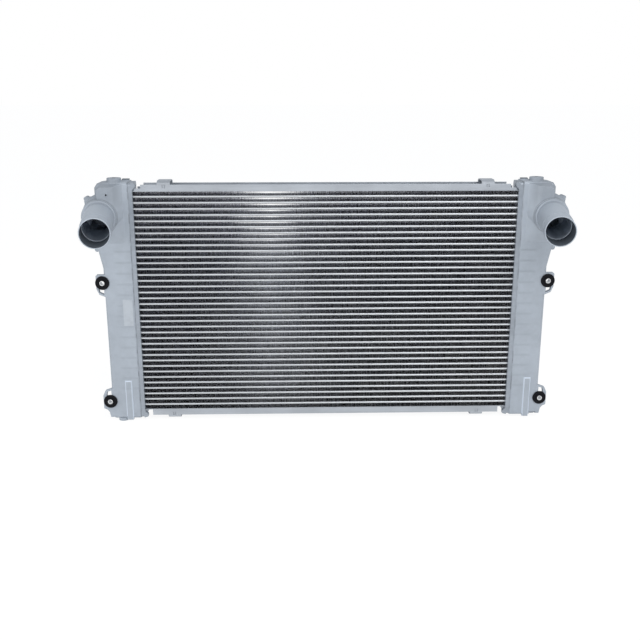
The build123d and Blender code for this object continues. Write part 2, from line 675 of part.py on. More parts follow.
def bush(x, z):
    """A rubber bush, held in an ear by its front flange and its rear lip."""
    front = EAR_FRONT_Y - BUSH_FLANGE
    rear = EAR_REAR_Y + BUSH_LIP
    flange = rod_along_y(x, z, BUSH_FLANGE_R, front, EAR_FRONT_Y)
    flange = fillet(flange.edges().group_by(Axis.Y)[0], BUSH_EDGE_R)
    waist = rod_along_y(x, z, BUSH_WAIST_R, front, rear)
    lip = rod_along_y(x, z, BUSH_LIP_R, EAR_REAR_Y, rear)
    lip = fillet(lip.edges().group_by(Axis.Y)[-1], BUSH_EDGE_R)
    collar = rod_along_y(x, z, BUSH_COLLAR_R, front - BUSH_COLLAR, front + 1)
    bore = rod_along_y(x, z, SLEEVE_R + BRAZE_GAP, front - BUSH_COLLAR - 1, rear + 1)
    return flange + waist + lip + collar - bore


def sleeve(x, z):
    """The metal sleeve that a frame bolt passes through."""
    rear = EAR_REAR_Y + BUSH_LIP + SLEEVE_PROUD
    return rod_along_y(x, z, SLEEVE_R, 0, rear) - rod_along_y(x, z, BOLT_HOLE_R, -1, rear + 1)


def label():
    """The blank paper label on the front of the left tank."""
    x1 = -SEAM_X - LABEL_SEAM_GAP
    z1 = TANK_TOP_Z - LABEL_DROP
    y0 = TANK_FRONT_Y - LABEL_THICKNESS
    return block(x1 - LABEL_WIDTH, x1, y0, TANK_FRONT_Y, z1 - LABEL_HEIGHT, z1)


def save(name, shape):
    """Writes one node's STEP file."""
    export_step(shape, os.path.join("parts", name + ".step"))


def group(shapes):
    """Separate solids kept together in one node."""
    return Compound(children=list(shapes))


def main():
    """Builds every piece and writes it."""
    os.makedirs("parts", exist_ok=True)
    tube = air_tube()
    for row in range(TUBE_COUNT):
        save(f"air_tube_{row + 1:02d}", Pos(0, 0, row * TUBE_PITCH) * tube)
    foil = turbulator()
    save("turbulators", group(Pos(0, 0, row * TUBE_PITCH) * foil for row in range(TUBE_COUNT)))
    fins = fin_row()
    save("fin_rows", group(Pos(0, 0, row * TUBE_PITCH) * fins for row in range(TUBE_COUNT + 1)))
    header = header_plate()
    save("header_plate_right", header)
    save("header_plate_left", mirror(header, about=Plane.YZ))
    stub = hose_stub()
    save("hose_stub_right", stub)
    save("hose_stub_left", mirror(stub, about=Plane.YZ))
    for side in ("left", "right"):
        save(f"end_tank_{side}", end_tank(side))
    for name, side_z in (("top", 1), ("bottom", -1)):
        save(f"side_plate_{name}", side_plate(side_z))
        for side, side_x in (("left", -1), ("right", 1)):
            save(f"clip_{name}_{side}", clip(side_x, side_z))
            x, z = side_x * BUSH_X, side_z * BUSH_Z
            save(f"bush_{name}_{side}", bush(x, z))
            save(f"sleeve_{name}_{side}", sleeve(x, z))
    save("label", label())


main()
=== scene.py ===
"""Looks for a heavy vehicle's charge air cooler: cast tanks, air tubes and folded fins."""

import json
import math
import random

import bmesh
import bpy
from bpy.props import FloatProperty, FloatVectorProperty, IntProperty, PointerProperty
from mathutils import Matrix, Vector


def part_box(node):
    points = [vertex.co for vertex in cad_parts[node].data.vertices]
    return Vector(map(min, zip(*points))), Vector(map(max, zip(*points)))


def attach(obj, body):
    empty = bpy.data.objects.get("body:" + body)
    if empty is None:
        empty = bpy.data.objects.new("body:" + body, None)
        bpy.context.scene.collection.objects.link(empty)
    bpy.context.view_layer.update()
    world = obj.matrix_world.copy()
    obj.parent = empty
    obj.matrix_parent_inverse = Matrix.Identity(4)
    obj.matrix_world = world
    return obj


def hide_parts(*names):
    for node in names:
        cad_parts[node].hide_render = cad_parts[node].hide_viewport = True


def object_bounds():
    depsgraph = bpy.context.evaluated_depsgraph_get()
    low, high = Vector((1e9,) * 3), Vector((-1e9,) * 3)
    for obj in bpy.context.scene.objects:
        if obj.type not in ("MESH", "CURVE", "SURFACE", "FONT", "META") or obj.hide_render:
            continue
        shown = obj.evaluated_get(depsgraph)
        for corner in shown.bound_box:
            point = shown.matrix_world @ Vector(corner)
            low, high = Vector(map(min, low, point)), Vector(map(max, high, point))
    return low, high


bl_info = {
    "name": "Charge Air Cooler",
    "version": (1, 0, 0),
    "blender": (4, 5, 0),
    "location": "View3D > Sidebar > Cooler",
    "description": "Dresses the packed cooler with folded fins, metal, rubber and a studio",
    "category": "Object",
}

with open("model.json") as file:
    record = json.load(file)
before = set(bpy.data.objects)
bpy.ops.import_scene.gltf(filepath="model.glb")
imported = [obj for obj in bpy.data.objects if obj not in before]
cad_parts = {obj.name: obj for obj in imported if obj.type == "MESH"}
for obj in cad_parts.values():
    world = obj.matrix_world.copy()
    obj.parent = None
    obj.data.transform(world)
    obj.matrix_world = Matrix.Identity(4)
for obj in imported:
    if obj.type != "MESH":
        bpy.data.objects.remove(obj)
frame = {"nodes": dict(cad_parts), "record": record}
CAD_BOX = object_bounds()
NODES = frame["nodes"]
PORT = next(mount for mount in frame["record"]["mounts"] if mount["name"] == "air_port_right")
SIDES = ("left", "right")
ENDS = ("top", "bottom")
MM_PER_METRE = 1000

# Places on the castings, in metres. A pair says where a mark starts and where it is full,
# and a centre's pair is its place on two axes.
BORE_CLEARANCE = 0.0003
BORE_EDGE = PORT["dims"]["r_mm"] / MM_PER_METRE + BORE_CLEARANCE
BORE_STEP = PORT["dims"]["length_mm"] / 2 / MM_PER_METRE
BORE_STEP_HALF = 0.001
STREAK_TOP = 0.2515
STREAK_PITCH = 0.02935
STREAK_FADE = (0.12, 0.28)
FLANK_OUT = (0.566, 0.553)
FLANK_LOW = (-0.165, -0.14)
FLANK_HIGH = (0.275, 0.26)
FLANK_FRONT_Y = 0.02
RIB_X = 0.544
RIB_STEP = 0.015
RIB_HALF = 0.0083
RIB_TOP = -0.1095
RIB_LINE = (0.0018, 0.0008)
RIB_FRONT_Y = 0.0062
RIB_CEILING_Z = -0.05
CROWN_RISE = (0.36, 0.405)
CROWN_OUT = (0.525, 0.55)
RING_IN = (0.0445, 0.0455)
RING_OUT = (0.049, 0.0465)
RING_ROOT = (-0.118, -0.122)
RING_END = -0.155
NECK_EDGE = (0.0425, 0.0415)
NECK_ROOT = -0.118
DEEP_FRONT_Y = -0.02
SCROLL_CENTRE = (0.5805, 0.3535)
SCROLL_SKIN = 0.0475
SCROLL_WALL_Y = 0.058
PAD_EDGE = (0.54, 0.5385)
PAD_FRONT_Y = 0.0545
PAD_DROP = 0.0085
PAD_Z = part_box("end_tank_right")[1].z - PAD_DROP
VENT_CENTRE = (-0.5658, 0.4029)
VENT_R = 0.00235
DIMPLE_CENTRE = (0.552, 0.026)
DIMPLE_R = 0.0052
DIMPLE_LOW_Z = 0.43

# How strongly a mark on the castings shows, and its tone against the casting's own. The edge coat
# is wear and a painted highlight, the rib, neck and deep coats are painted light, and the crown,
# ring, bore, streak and pit marks are painted shade.
EDGE_WEAR_AND_HIGHLIGHT_COAT = (0.45, 1.3)
RIB_HIGHLIGHT_COAT = (0.8, 1.85)
CROWN_SHADE_COAT = (0.6, 0.6)
CREVICE_SHADE_COAT = (0.5, 0.5)
NECK_LIGHT_COAT = (0.6, 1.22)
DEEP_LIGHT_COAT = (0.8, 1.7)
PAD_COAT = (0.75, 0.3)
BORE_SHADE_SHARE = 0.9
STREAK_SHADE_TONE = 0.62
STREAK_CREST = 0.62
STREAK_GAIN = 2.6
STREAK_LEAST = 0.45
STREAK_SHARE = (0.2, 0.32)
DIMPLE_SHARE = 0.6
PIT_SHADE_TONE = 0.06
CROWN_LEAST = 0.35
CAST_TONES = (0.86, 1.14)

# How far a rounded normal turns from the true one where an edge starts and is full.
EDGE_TURN = (0.004, 0.10)
EDGE_SAMPLES = 8

# Fins and weld beads. The lengths are in metres.
FOLD_BEND = 0.22
DOWN_STRAY = 0.5
SHEAR_KNOTS = 18
LOUVRE_PITCH = 0.0012
# Where the foil's painted light grows, low down and to the right, and the shares of its tone and
# light.
PAINTED_LIGHT_LOW_Z = (0.38, -0.18)
PAINTED_LIGHT_RIGHT_X = (-0.5, 0.5)
FOIL_TONE_AND_LIGHT_SHARES = (0.35, 0.4, 0.25)
BEAD_SIDES = 10
BEAD_CORNER_R = 0.008
BEAD_TURN_STEPS = 6
BEAD_RISE = 0.7
BEAD_SPREAD = 1.2
RIPPLE_STEPS = 4
RIPPLE_SWELL = 0.13
RIPPLE_STRAY = 0.04

# Sheet metal.
HEADER_ROUGHNESS = 0.42
PLATE_ROUGHNESS = 0.34
SHEET_EDGE_R = 0.0008

# Studio. The lengths are in metres.
WHITE = (1, 1, 1, 1)
FLOOR_REACH = 40
FLOOR_TONES = ((0.93, 0.93, 0.93, 1), (0.95, 0.95, 0.95, 1))
FLOOR_GLOW = 1.06
FLOOR_GLOW_SHARE = 0.86
SKY_COLOUR = (0.93, 0.96, 1, 1)
LAMP_SIZE = 2.2
LAMP_TARGET = (0, 0, 0.1)
KEY_PLACE = (0.9, -2.2, 2.4)
FILL_PLACE = (-2.2, -2.4, 1.2)
SENSOR_WIDTH_MM = 36
LENS_SHIFT = (-0.00078, 0.00078)
CLIP_END = 200
CAMERA_RIGHT = Vector((0.999667, -0.025800, 0.000101))
CAMERA_DOWN = Vector((-0.006884, -0.270513, -0.962692))
CAMERA_AHEAD = Vector((0.024864, 0.962371, -0.270600))


class Socket:
    """A shader socket that can stand in an expression."""

    def __init__(self, finish, socket):
        self.finish = finish
        self.socket = socket

    def maths(self, operation, *values):
        """One Math node on the given values."""
        return self.finish.node("Math", {"operation": operation}, dict(enumerate(values)))

    def __add__(self, other):
        return self.maths("ADD", self, other)

    def __radd__(self, other):
        return self.maths("ADD", other, self)

    def __sub__(self, other):
        return self.maths("SUBTRACT", self, other)

    def __rsub__(self, other):
        return self.maths("SUBTRACT", other, self)

    def __mul__(self, other):
        return self.maths("MULTIPLY", self, other)

    def __rmul__(self, other):
        return self.maths("MULTIPLY", other, self)

    def __gt__(self, other):
        return self.maths("GREATER_THAN", self, other)

    def __lt__(self, other):
        return self.maths("LESS_THAN", self, other)

    def sine(self):
        return self.maths("SINE", self)

    def cosine(self):
        return self.maths("COSINE", self)

    def absolute(self):
        return self.maths("ABSOLUTE", self)

    def least(self, other):
        return self.maths("MINIMUM", self, other)

    def most(self, other):
        return self.maths("MAXIMUM", self, other)

    def between(self, low, high):
        """Runs from 0 at low to 1 at high, and stays there."""
        ends = {"From Min": low, "From Max": high, "Value": self}
        return self.finish.node("MapRange", {"interpolation_type": "SMOOTHSTEP"}, ends)

    def spread(self, low, high):
        """Runs from low to high where the socket runs from 0 to 1."""
        return low + self * (high - low)


class Finish:
    """A material, or a world, and the nodes that make it."""

    def __init__(self, name, home=None):
        self.home = home or bpy.data.materials.new(name)
        self.home.use_nodes = True
        self.tree = self.home.node_tree
        self.tree.nodes.clear()

    def node(self, kind, settings=None, inputs=None, out=0):
        """Adds a shader node with its settings, then fills its sockets, and gives one output."""
        made = self.tree.nodes.new("ShaderNode" + kind)
        for name, value in (settings or {}).items():
            setattr(made, name, value)
        for name, value in (inputs or {}).items():
            socket = made.inputs[name]
            if isinstance(value, Socket):
                self.tree.links.new(value.socket, socket)
            else:
                socket.default_value = value
        return Socket(self, made.outputs[out]) if made.outputs else None

    def vector(self, operation, *values, out=0):
        """One Vector Math node on the given values."""
        return self.node("VectorMath", {"operation": operation}, dict(enumerate(values)), out)

    def place(self, scale=(1, 1, 1), offset=(0, 0, 0)):
        """The point on the object, in metres, scaled and moved."""
        point = self.node("TexCoord", out="Object")
        return self.node("Mapping", inputs={"Vector": point, "Scale": scale, "Location": offset})

    def axes(self):
        """The point's X, Y and Z on the object, in metres."""
        point = self.node("TexCoord", out="Object")
        return [self.node("SeparateXYZ", inputs={0: point}, out=n) for n in range(3)]

    def stub(self):
        """How far the point lies from the nearer stub's axis, and how far out along it.

        The second is 0 at the middle of the turned bore.
        """
        x, y, z = self.axes()
        point = self.node("CombineXYZ", inputs={0: x.absolute(), 1: y, 2: z})
        ray = self.vector("SUBTRACT", point, PORT["pos_m"])
        away = self.vector("LENGTH", self.vector("CROSS_PRODUCT", ray, PORT["axis"]), out=1)
        along = self.vector("DOT_PRODUCT", ray, PORT["axis"], out=1)
        return away, along

    def noise(self, scale, detail, rough=0.5, stretch=(1, 1, 1), offset=(0, 0, 0)):
        """Smooth noise from 0 to 1, with scale in lumps a metre."""
        inputs = {
            "Vector": self.place(stretch, offset),
            "Scale": scale,
            "Detail": detail,
            "Roughness": rough,
        }
        return self.node("TexNoise", inputs=inputs)

    def grains(self, scale):
        """The distance to scattered points, with scale in points a metre."""
        return self.node("TexVoronoi", inputs={"Vector": self.place(), "Scale": scale})

    def soft_edges(self, radius):
        """A normal that rounds the edges, and how near an outer edge the point lies."""
        soft = self.node("Bevel", {"samples": EDGE_SAMPLES}, {"Radius": radius})
        true = self.node("NewGeometry", out="True Normal")
        alike = self.vector("DOT_PRODUCT", soft, true, out=1)
        return soft, (1 - alike).between(*EDGE_TURN)

    def blend(self, share, low, high):
        """Mixes two colours."""
        return self.node("Mix", {"data_type": "RGBA"}, {0: share, 6: low, 7: high}, out=2)

    def tones(self, share, colour, low, high):
        """A colour that runs from one tone of itself to another."""
        return self.blend(share, shade(colour, low), shade(colour, high))

    def bump(self, height, strength, distance, normal=None):
        """A normal that follows a height."""
        inputs = {"Height": height, "Strength": strength, "Distance": distance}
        if normal:
            inputs["Normal"] = normal
        return self.node("Bump", inputs=inputs)

    def surface(self, **inputs):
        """The Principled shader that ends the material."""
        named = {name.replace("_", " "): value for name, value in inputs.items()}
        return self.end("OutputMaterial", self.node("BsdfPrincipled", inputs=named))

    def end(self, kind, shader):
        """Sends the last shader to the output."""
        self.node(kind, inputs={"Surface": shader})
        return self.home


def shade(colour, factor):
    """A colour made lighter or darker, with its alpha."""
    return tuple(min(1, channel * factor) for channel in colour) + (1,)


def within(first, second, centre, radius):
    """1 inside a circle about a centre, on two of the point's axes."""
    first_off = first - centre[0]
    second_off = second - centre[1]
    return first_off * first_off + second_off * second_off < radius**2


def dress(node, material):
    """Gives a carried-over CAD node its material."""
    slots = NODES[node].material_slots
    if slots:
        slots[0].material = material
    else:
        NODES[node].data.materials.append(material)


def new_piece(name, mesh_data, material):
    """Makes a mesh piece that rides on the cooler and takes its finish from a slot."""
    piece = bpy.data.objects.new(name, mesh_data)
    bpy.context.scene.collection.objects.link(piece)
    mesh_data.materials.append(material)
    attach(piece, "root")
    return piece


def colour_property(name, description, default):
    """A colour that the panel shows."""
    return FloatVectorProperty(
        name=name, description=description, default=default, min=0, max=1, subtype="COLOR"
    )


def length_property(name, description, default, least=0.0):
    """A length in metres that the panel shows."""
    return FloatProperty(
        name=name, description=description, default=default, min=least, unit="LENGTH"
    )


class CastingLook(bpy.types.PropertyGroup):
    """The cast end tanks and their weld beads."""

    colour: colour_property(
        "Casting colour", "Bare cast aluminium of the tanks", (0.40, 0.44, 0.49)
    )
    # The bore colour is painted shade inside the hose stubs.
    bore: colour_property("Bore colour", "Dull inside of the hose stubs", (0.10, 0.12, 0.145))
    stain: FloatProperty(
        name="Stain",
        description="How much the casting's tone wanders",
        default=0.35,
        min=0,
        max=1,
        subtype="FACTOR",
    )
    edge: length_property(
        "Edge rounding", "Radius that softens the edges of the castings", 0.0025
    )
    bead: length_property("Weld bead", "Radius of the bead between tank and header", 0.0021)
    ripple: length_property("Weld ripple", "Length of one ripple of the bead", 0.0044, 0.001)
    bead_seed: IntProperty(
        name="Weld seed", description="Seed of the bead's uneven places", default=3, min=0
    )


class CoreLook(bpy.types.PropertyGroup):
    """The tubes and the folded fins."""

    wave: length_property(
        "Fin wave", "Length of one whole wave of the folded foil", 0.0036, 0.001
    )
    lean: FloatProperty(
        name="Fin lean",
        description="Angle of the fin walls to the depth of the core",
        default=math.radians(-2.07),
        subtype="ANGLE",
    )
    wander: length_property("Fin wander", "How far a fold strays from its place", 0.0003)
    shear: FloatProperty(
        name="Fin shear",
        description="How far the lean strays along a row",
        default=math.radians(0.55),
        min=0,
        subtype="ANGLE",
    )
    seed: IntProperty(name="Fin seed", description="Seed of the strays", default=7, min=0)
    foil: colour_property("Foil colour", "Thin aluminium of the fins", (0.83, 0.85, 1.0))
    tube: colour_property("Tube colour", "Brazed aluminium of the tubes", (0.60, 0.62, 0.64))


class SheetLook(bpy.types.PropertyGroup):
    """The header plates, side plates and clips."""

    header: colour_property(
        "Header colour", "Brazed aluminium of the header plates", (0.35, 0.385, 0.43)
    )
    plate: colour_property(
        "Side plate colour", "Rolled aluminium of the side plates and clips", (0.45, 0.48, 0.52)
    )


class FittingLook(bpy.types.PropertyGroup):
    """The mounting bushes, their sleeves and the label."""

    rubber: colour_property("Rubber colour", "Rubber of the bushes", (0.006, 0.006, 0.008))
    steel: colour_property("Sleeve colour", "Plated steel of the sleeves", (0.97, 0.97, 0.97))
    paper: colour_property("Label colour", "Blank label paper", (0.435, 0.47, 0.51))


class StudioLook(bpy.types.PropertyGroup):
    """The floor, the lights and the camera."""

    lens: FloatProperty(
        name="Focal length", description="Focal length in millimetres", default=46.997, min=1
    )
    eye: FloatVectorProperty(
        name="Camera place",
        description="Where the camera stands",
        default=(-0.07226, -2.17281, 0.67257),
        subtype="TRANSLATION",
        unit="LENGTH",
    )
    level: FloatProperty(
        name="Sky light",
        description="Strength of the even light from all round",
        default=0.66,
        min=0,
    )
    key: FloatProperty(
        name="Key light", description="Power of the main lamp", default=42.0, min=0, unit="POWER"
    )
    fill: FloatProperty(
        name="Fill light", description="Power of the side lamp", default=23.0, min=0, unit="POWER"
    )


def cast_streaks_and_shade(across, y, z, drift):
    """The faint cast streaks that cross the front of each tank, from 0 up. The bump raises them as
    ribs, and the colour takes them as painted shade.
    """
    flank = across.between(*FLANK_OUT) * z.between(*FLANK_LOW) * z.between(*FLANK_HIGH)
    wave = ((z - STREAK_TOP) * (2 * math.pi / STREAK_PITCH)).cosine()
    crest = (wave - STREAK_CREST).most(0) * STREAK_GAIN
    return crest * flank * (y < FLANK_FRONT_Y) * (drift + STREAK_LEAST)


def painted_rib_highlight(x, across, y, z):
    """A painted highlight along the outline of the foot rib on each tank, from 0 to 1."""
    side = (across - (x > 0) * RIB_STEP - RIB_X).absolute() - RIB_HALF
    line = side.most(z - RIB_TOP).absolute().between(*RIB_LINE)
    return line * (y < RIB_FRONT_Y) * (z < RIB_CEILING_Z)


def painted_pit_shade(x, across, y, z):
    """Painted shade in the blind vent of the left tank and the dimples of the top bosses, from 0 to
    1.
    """
    vent = within(x, z, VENT_CENTRE, VENT_R) * (y < 0)
    dimple = within(across, y, DIMPLE_CENTRE, DIMPLE_R) * (z > DIMPLE_LOW_Z)
    return vent.most(dimple * DIMPLE_SHARE)


def casting_finish(look):
    """Bare cast aluminium with drifts of tone and streaks, lighter edges that are wear and a
    painted highlight, painted highlights on the foot ribs, painted light on the necks and deep in
    the bores, and painted shade along the streaks, on the crowns, round the collars, in the turned
    bores and in the pits.
    """
    finish = Finish("cast_aluminium")
    x, y, z = finish.axes()
    across = x.absolute()
    away, along = finish.stub()
    drift = finish.noise(scale=9, detail=4, rough=0.55)
    mottle = finish.noise(scale=70, detail=3, rough=0.6, offset=(3, 1, 2))
    skin = finish.noise(scale=900, detail=2, rough=0.6)
    soft, edge = finish.soft_edges(look.edge)
    tone = (drift * 0.6 + mottle * 0.4 - 0.5) * look.stain + 1
    colour = finish.tones(tone.between(*CAST_TONES), look.colour, *CAST_TONES)
    line = cast_streaks_and_shade(across, y, z, drift)
    strength = z.between(*STREAK_FADE).spread(*STREAK_SHARE)
    # Painted shade along the cast streaks.
    colour = finish.blend(line * strength, colour, shade(look.colour, STREAK_SHADE_TONE))
    # Painted shade: the top of each raised block is darker, broken up by the mottle.
    painted_crown_shade = z.between(*CROWN_RISE) * across.between(*CROWN_OUT) * (mottle + CROWN_LEAST)
    # Painted shade in the crevice round each collar.
    ring = away.between(*RING_IN) * away.between(*RING_OUT)
    # Painted light on the neck of each hose stub.
    painted_neck_light = away.between(*NECK_EDGE) * (along > NECK_ROOT)
    # Painted light deep in each bore, and inside the scroll behind it.
    scroll = within(across, z, SCROLL_CENTRE, SCROLL_SKIN) * (y < SCROLL_WALL_Y)
    painted_deep_light = (away < BORE_EDGE) * (along < -BORE_STEP) * (y < DEEP_FRONT_Y).most(scroll)
    pad = across.between(*PAD_EDGE) * (y > PAD_FRONT_Y) * (z > PAD_Z)
    coats = (
        # Lighter edges: wear, and a painted highlight.
        (edge, EDGE_WEAR_AND_HIGHLIGHT_COAT),
        # Painted highlight along the foot rib's outline.
        (painted_rib_highlight(x, across, y, z), RIB_HIGHLIGHT_COAT),
        (painted_crown_shade, CROWN_SHADE_COAT),
        (ring * along.between(*RING_ROOT) * (along > RING_END), CREVICE_SHADE_COAT),
        (painted_neck_light, NECK_LIGHT_COAT),
        (painted_deep_light, DEEP_LIGHT_COAT),
        (pad, PAD_COAT),
    )
    for share, (most, factor) in coats:
        colour = finish.blend(share * most, colour, shade(look.colour, factor))
    # Painted shade in the turned bore, all but the step.
    step = (along + BORE_STEP).absolute() < BORE_STEP_HALF
    bore = (away < BORE_EDGE) * (along > -BORE_STEP) * (1 - step)
    colour = finish.blend(bore * BORE_SHADE_SHARE, colour, (*look.bore, 1))
    # Painted shade in the vent and the dimples.
    colour = finish.blend(painted_pit_shade(x, across, y, z), colour, shade(look.colour, PIT_SHADE_TONE))
    grain = finish.bump(skin * 0.35 + mottle * 0.5, strength=0.32, distance=0.0006, normal=soft)
    return finish.surface(
        Base_Color=colour,
        Roughness=mottle.spread(0.50, 0.62),
        Metallic=0.3,
        Normal=finish.bump(line, strength=0.4, distance=0.0008, normal=grain),
    )


def bead_finish(look):
    """Fresh weld metal with fine specks and dull heat marks."""
    finish = Finish("weld_metal")
    burn = finish.noise(scale=45, detail=3, rough=0.6)
    speck = finish.noise(scale=1400, detail=2, rough=0.6)
    return finish.surface(
        Base_Color=finish.tones(burn.between(0.35, 0.7), look.colour, 0.95, 0.6),
        Roughness=burn.spread(0.38, 0.53),
        Metallic=0.5,
        Normal=finish.bump(speck, strength=0.2, distance=0.0002),
    )


def tube_finish(look):
    """Brazed aluminium of the tubes, with faint flow marks along them."""
    finish = Finish("brazed_tube")
    flow = finish.noise(scale=26, detail=3, rough=0.6, stretch=(0.35, 3, 3))
    speck = finish.noise(scale=420, detail=2)
    return finish.surface(
        Base_Color=finish.tones(flow.between(0.3, 0.7), look.tube, 0.93, 1.05),
        Roughness=flow.spread(0.32, 0.44),
        Metallic=0.8,
        Normal=finish.bump(speck, strength=0.12, distance=0.0002),
    )


def foil_finish(look):
    """Thin fin foil with painted light that makes it lighter low down and to the right, and fine
    louvres across its depth.
    """
    finish = Finish("fin_foil")
    x, y, z = finish.axes()
    drift = finish.noise(scale=9, detail=2, stretch=(1, 0.2, 1.6))
    fold = finish.noise(scale=300, detail=1, stretch=(1, 0.01, 0.06))
    louvre = (y * (2 * math.pi / LOUVRE_PITCH)).sine()
    tone = (drift * 0.4 + fold * 0.6).between(0.35, 0.65)
    fold_share, low_share, right_share = FOIL_TONE_AND_LIGHT_SHARES
    # The foil's random tone, with painted light that grows low down and to the right.
    tone_and_painted_light = (
        tone * fold_share
        + z.between(*PAINTED_LIGHT_LOW_Z) * low_share
        + x.between(*PAINTED_LIGHT_RIGHT_X) * right_share
    )
    return finish.surface(
        Base_Color=finish.tones(tone_and_painted_light, look.foil, 0.56, 1.35),
        Roughness=fold.spread(0.20, 0.34),
        Metallic=0.95,
        Normal=finish.bump(louvre, strength=0.12, distance=0.0001),
    )


def sheet_finish(name, colour, roughness):
    """Rolled or brazed sheet aluminium with long faint streaks, and lighter edges that are wear and
    a painted highlight.
    """
    finish = Finish(name)
    streak = finish.noise(scale=16, detail=4, rough=0.6, stretch=(0.2, 1.5, 4))
    cloud = finish.noise(scale=12, detail=3, offset=(5, 0, 1))
    fine = finish.noise(scale=800, detail=2)
    tone = (streak * 0.5 + cloud * 0.5).between(0.32, 0.68)
    sheet = finish.tones(tone, colour, 0.88, 1.1)
    soft, edge = finish.soft_edges(SHEET_EDGE_R)
    return finish.surface(
        # Lighter edges: wear, and a painted highlight.
        Base_Color=finish.blend(edge * 0.4, sheet, shade(colour, 1.35)),
        Roughness=roughness + cloud * 0.14,
        Metallic=0.65,
        Normal=finish.bump(fine, strength=0.15, distance=0.0002, normal=soft),
    )


def rubber_finish(look):
    """Moulded black rubber with a grey bloom and fine pits."""
    finish = Finish("bush_rubber")
    bloom = finish.noise(scale=110, detail=4, rough=0.6)
    pit = finish.grains(scale=2600)
    return finish.surface(
        Base_Color=finish.tones(bloom.between(0.5, 0.8), look.rubber, 1, 1.9),
        Roughness=bloom.spread(0.62, 0.80),
        Normal=finish.bump(pit + bloom, strength=0.2, distance=0.0003),
        Specular_IOR_Level=0.15,
    )


def steel_finish(look):
    """Plated steel of the bolt sleeves."""
    finish = Finish("sleeve_steel")
    wear = finish.noise(scale=260, detail=3, rough=0.6)
    return finish.surface(
        Base_Color=finish.tones(wear, look.steel, 0.82, 1.1),
        Roughness=wear.spread(0.28, 0.44),
        Metallic=0.5,
        Normal=finish.bump(wear, strength=0.15, distance=0.0001),
    )


def paper_finish(look):
    """Blank label paper, a little dirty."""
    finish = Finish("label_paper")
    soil = finish.noise(scale=60, detail=4, rough=0.6)
    fibre = finish.noise(scale=1800, detail=2, rough=0.6)
    return finish.surface(
        Base_Color=finish.tones(soil.between(0.4, 0.8), look.paper, 1.05, 0.9),
        Roughness=soil.spread(0.55, 0.65),
        Normal=finish.bump(fibre, strength=0.1, distance=0.0001),
    )


def fin_line(left, right, low, high, look, rand):
    """Points (x, z) of one row of folded foil, seen from the front."""
    bend = FOLD_BEND * look.wave
    half = look.wave / 2
    count = int((right - left) / look.wave)
    start = left + rand.uniform(0, (right - left) - count * look.wave)
    points = [(start, low)]
    for n in range(count):
        x = start + n * look.wave
        up = x + half / 2 + rand.uniform(-look.wander, look.wander)
        down = up + half + rand.uniform(-look.wander, look.wander) * DOWN_STRAY
        points += [(up - bend, low), (up, low + bend), (up, high - bend), (up + bend, high)]
        points += [(down - bend, high), (down, high - bend), (down, low + bend), (down + bend, low)]
    return points


def row_lean(x, low, high, knots):
    """The lean at a place along a row, eased between its knots."""
    place = (x - low) / (high - low) * (len(knots) - 1)
    n = min(int(place), len(knots) - 2)
    share = place - n
    ease = share * share * (3 - 2 * share)
    return knots[n] + (knots[n + 1] - knots[n]) * ease


class COOLER_OT_fins(bpy.types.Operator):
    """Folds a foil strip between every two tubes"""

    bl_idname = "cooler.fins"
    bl_label = "Folded fins"

    def execute(self, context):
        look = context.scene.cooler_core
        material = foil_finish(look)
        rand = random.Random(look.seed)
        low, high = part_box("fin_rows")
        tubes = sorted(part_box(name)[0].z for name in NODES if name.startswith("air_tube"))
        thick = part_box("air_tube_01")[1].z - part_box("air_tube_01")[0].z
        floors = [low.z] + [z + thick for z in tubes]
        roofs = tubes + [high.z]
        half_depth = (high.y - low.y) / 2
        most = math.tan(abs(look.lean) + look.shear) * half_depth
        built = bmesh.new()
        for floor_z, roof_z in zip(floors, roofs):
            line = fin_line(low.x + most, high.x - most, floor_z, roof_z, look, rand)
            strays = [rand.uniform(-look.shear, look.shear) for _ in range(SHEAR_KNOTS + 1)]
            knots = [look.lean + stray for stray in strays]
            leans = [math.tan(row_lean(x, low.x, high.x, knots)) * half_depth for x, _ in line]
            front = [built.verts.new((x - lean, low.y, z)) for (x, z), lean in zip(line, leans)]
            rear = [built.verts.new((x + lean, high.y, z)) for (x, z), lean in zip(line, leans)]
            for n in range(len(line) - 1):
                built.faces.new((front[n], front[n + 1], rear[n + 1], rear[n]))
        foil = bpy.data.meshes.new("fin_foil")
        built.to_mesh(foil)
        built.free()
        piece = new_piece("fin_foil", foil, material)
        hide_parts("fin_rows")
        return {"FINISHED"}


class COOLER_OT_tubes(bpy.types.Operator):
    """Finishes the air tubes and the foils inside them"""

    bl_idname = "cooler.tubes"
    bl_label = "Air tubes"

    def execute(self, context):
        look = context.scene.cooler_core
        material = tube_finish(look)
        for name in NODES:
            if name.startswith("air_tube"):
                dress(name, material)
        dress("turbulators", material)
        return {"FINISHED"}


class COOLER_OT_sheets(bpy.types.Operator):
    """Finishes the header plates, side plates and clips"""

    bl_idname = "cooler.sheets"
    bl_label = "Headers and side plates"

    def execute(self, context):
        look = context.scene.cooler_sheet
        header = sheet_finish("header_sheet", look.header, HEADER_ROUGHNESS)
        plate = sheet_finish("plate_sheet", look.plate, PLATE_ROUGHNESS)
        for side in SIDES:
            dress(f"header_plate_{side}", header)
        for end in ENDS:
            dress(f"side_plate_{end}", plate)
            for side in SIDES:
                dress(f"clip_{end}_{side}", plate)
        return {"FINISHED"}


class COOLER_OT_tanks(bpy.types.Operator):
    """Finishes the cast end tanks and hose stubs"""

    bl_idname = "cooler.tanks"
    bl_label = "End tanks"

    def execute(self, context):
        material = casting_finish(context.scene.cooler_casting)
        for side in SIDES:
            dress(f"end_tank_{side}", material)
            dress(f"hose_stub_{side}", material)
        return {"FINISHED"}


